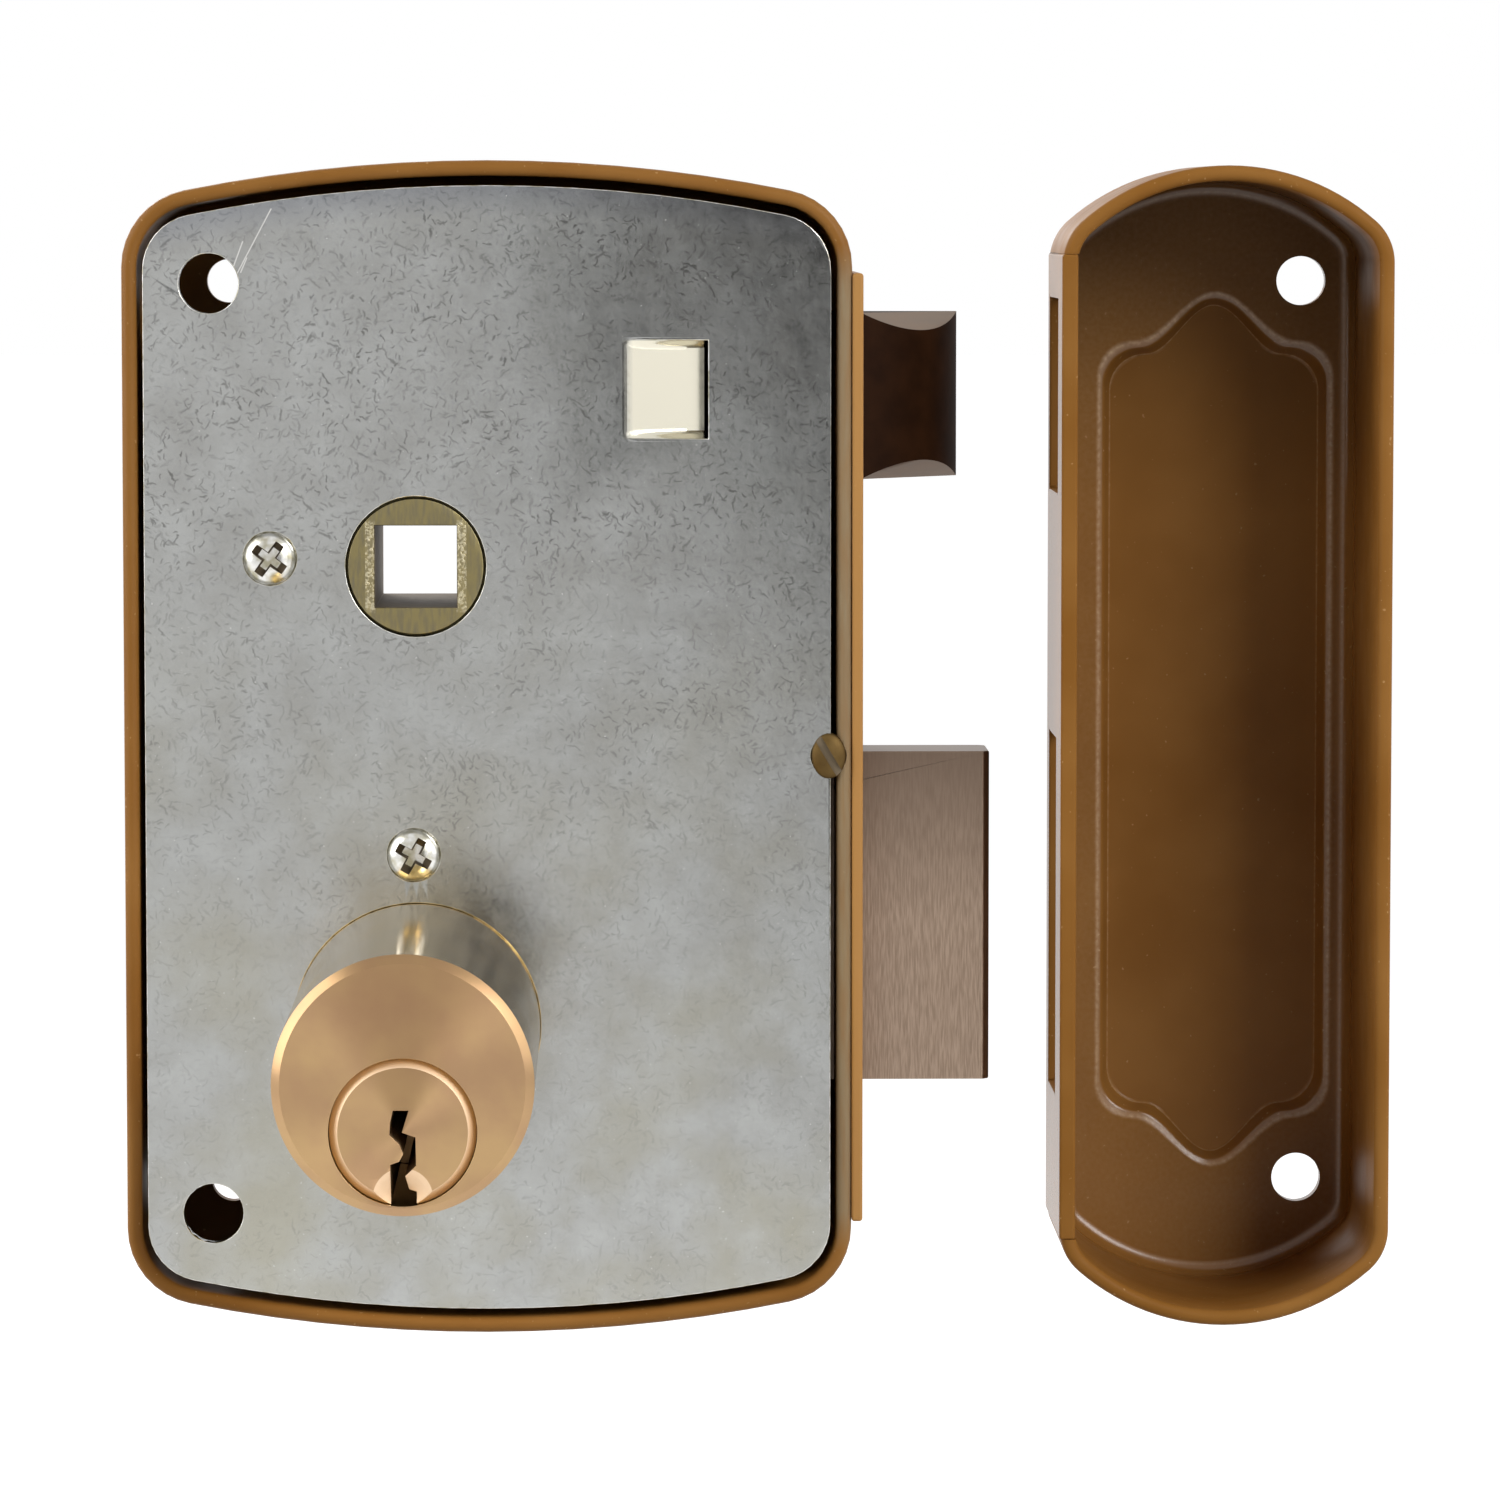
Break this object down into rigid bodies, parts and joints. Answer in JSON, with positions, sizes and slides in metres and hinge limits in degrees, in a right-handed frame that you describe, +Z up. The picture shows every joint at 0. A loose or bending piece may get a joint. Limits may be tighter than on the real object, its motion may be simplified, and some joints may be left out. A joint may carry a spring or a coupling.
{
  "type": "rim box lock",
  "caption": "Surface-mounted rim box lock with arched painted case, zinc-plated back plate, brass key cylinder, sprung latch, sliding deadbolt, spindle hub and matching box keeper.",
  "frame": {"origin": "middle of the mounting plate's outer face, which lies on the door", "axes": "+X the way the bolts are thrown, +Y from the door towards the room, +Z up as mounted on the door"},
  "size_m": [0.1256, 0.0885, 0.1164],
  "materials": {
    "brown_paint": "stoved enamel, satin",
    "zinc_plate": "zinc plated, mottled",
    "zinc_screw": "bright zinc",
    "turned_brass": "satin turned",
    "yellow_zinc": "yellow passivated",
    "dark_latch": "dark brown, smooth",
    "bolt_steel": "ground, brownish",
    "plain_steel": "plain",
    "spring_steel": "drawn wire"
  },
  "bodies": {
    "case": {"case_cover": "brown_paint", "forend_plate": "brown_paint", "mounting_plate": "zinc_plate", "plate_screws": "zinc_screw", "plate_posts": "plain_steel", "seam_screw": "yellow_zinc", "latch_guide": "plain_steel", "latch_spring": "spring_steel", "latch_spring_stop": "plain_steel", "bolt_friction_spring": "spring_steel", "cylinder_body": "turned_brass", "cylinder_clip": "plain_steel", "driver_pins": "plain_steel", "pin_springs": "spring_steel"},
    "hub": {"spindle_hub": "yellow_zinc", "hub_lever": "plain_steel"},
    "latch": {"latch_head": "dark_latch", "latch_tail": "plain_steel", "latch_pin": "plain_steel"},
    "plug": {"cylinder_plug": "turned_brass", "plug_clip": "spring_steel", "key_pins": "turned_brass", "tail_bar": "plain_steel", "bolt_cam": "plain_steel", "thumb_turn": "brown_paint"},
    "deadbolt": {"deadbolt_head": "bolt_steel", "deadbolt_tail": "plain_steel", "deadbolt_rivets": "plain_steel"},
    "keeper": {"keeper_box": "brown_paint", "keeper_strike_plate": "brown_paint"}
  },
  "joints": [
    {"name": "hub_turn", "type": "hinge", "parent": "case", "child": "hub", "pos_m": [-0.0071, 0.013, 0.0182], "axis": [0, -1, 0], "range_deg": [0, 42]},
    {"name": "latch_slide", "type": "slide", "parent": "case", "child": "latch", "axis": [1, 0, 0], "range_m": [-0.01, 0], "stiffness_N_per_m": 400, "springref_m": 0.006, "deforming": ["latch_spring"]},
    {"name": "plug_turn", "type": "hinge", "parent": "case", "child": "plug", "pos_m": [-0.0071, 0, -0.0317], "axis": [0, -1, 0], "range_deg": [0, 120]},
    {"name": "deadbolt_slide", "type": "slide", "parent": "case", "child": "deadbolt", "axis": [1, 0, 0], "range_m": [-0.0132, 0]},
    {"name": "keeper_approach", "type": "slide", "parent": "case", "child": "keeper", "axis": [1, 0, 0], "range_m": [-0.016, 0]}
  ],
  "couplings": [
    {"joint": "hub_turn", "follows": "latch_slide", "rad_per_m": -73.3},
    {"joint": "plug_turn", "follows": "deadbolt_slide", "rad_per_m": -158.6}
  ]
}
